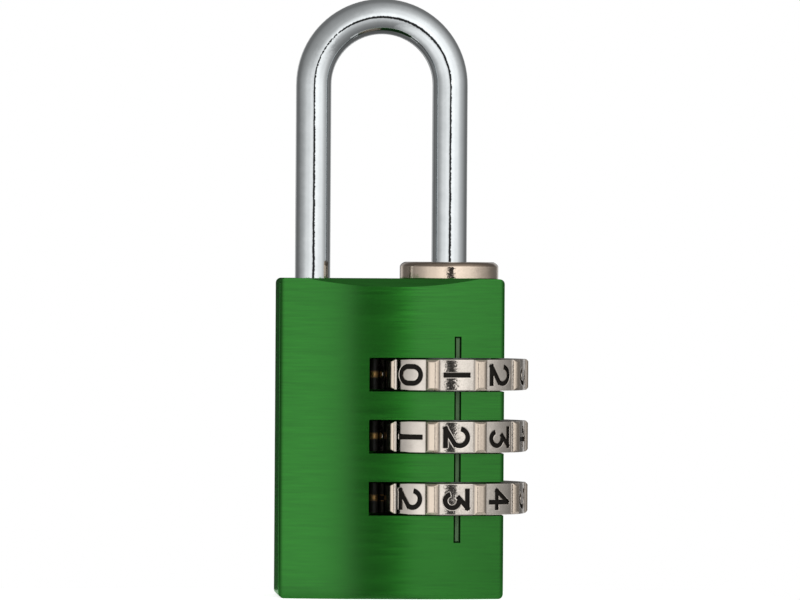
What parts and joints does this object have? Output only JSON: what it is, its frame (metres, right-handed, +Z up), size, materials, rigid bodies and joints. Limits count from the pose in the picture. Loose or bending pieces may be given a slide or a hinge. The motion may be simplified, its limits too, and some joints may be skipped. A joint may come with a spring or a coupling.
{
  "type": "combination padlock",
  "caption": "Combination padlock: curved block body, tall steel bow on a collar, and number dials at one side whose inner rings free the bow at the set code.",
  "frame": {"origin": "centre of the body's flat bottom face", "axes": "+Z up along the bow's legs, +X to the side where the dials stand out, -Y towards the front with the index line"},
  "size_m": [0.0225, 0.014, 0.0534],
  "materials": {
    "anodised_green": "green anodised aluminium, finely brushed from left to right",
    "bright_steel": "bright plated steel bar, smooth",
    "warm_nickel": "nickel plate with a warm tone, satin, digits filled black",
    "brass": "plain turned brass",
    "spring_steel": "plain spring steel"
  },
  "bodies": {
    "lock_body": {"body": "anodised_green", "collar_bush": "warm_nickel", "snap_ring": "spring_steel", "thrust_washer": "brass", "detent_leaf_1": "brass", "detent_leaf_2": "brass", "detent_leaf_3": "brass", "spring_seat": "spring_steel", "reset_spring": "spring_steel"},
    "bow": {"shackle": "bright_steel", "locking_comb": "spring_steel"},
    "wheel_1": {"dial_1": "warm_nickel", "code_ring_1": "spring_steel"},
    "wheel_2": {"dial_2": "warm_nickel", "code_ring_2": "spring_steel"},
    "wheel_3": {"dial_3": "warm_nickel", "code_ring_3": "spring_steel"}
  },
  "joints": [
    {"name": "bow_lift", "type": "slide", "parent": "lock_body", "child": "bow", "axis": [0, 0, 1], "range_m": [0, 0.0055]},
    {"name": "wheel_1_turn", "type": "hinge", "parent": "lock_body", "child": "wheel_1", "pos_m": [0.0053, 0, 0.0199], "axis": [0, 0, 1], "continuous": true, "deforming": ["detent_leaf_1"]},
    {"name": "wheel_2_turn", "type": "hinge", "parent": "lock_body", "child": "wheel_2", "pos_m": [0.0053, 0, 0.0144], "axis": [0, 0, 1], "continuous": true, "deforming": ["detent_leaf_2"]},
    {"name": "wheel_3_turn", "type": "hinge", "parent": "lock_body", "child": "wheel_3", "pos_m": [0.0053, 0, 0.0089], "axis": [0, 0, 1], "continuous": true, "deforming": ["detent_leaf_3"]}
  ]
}
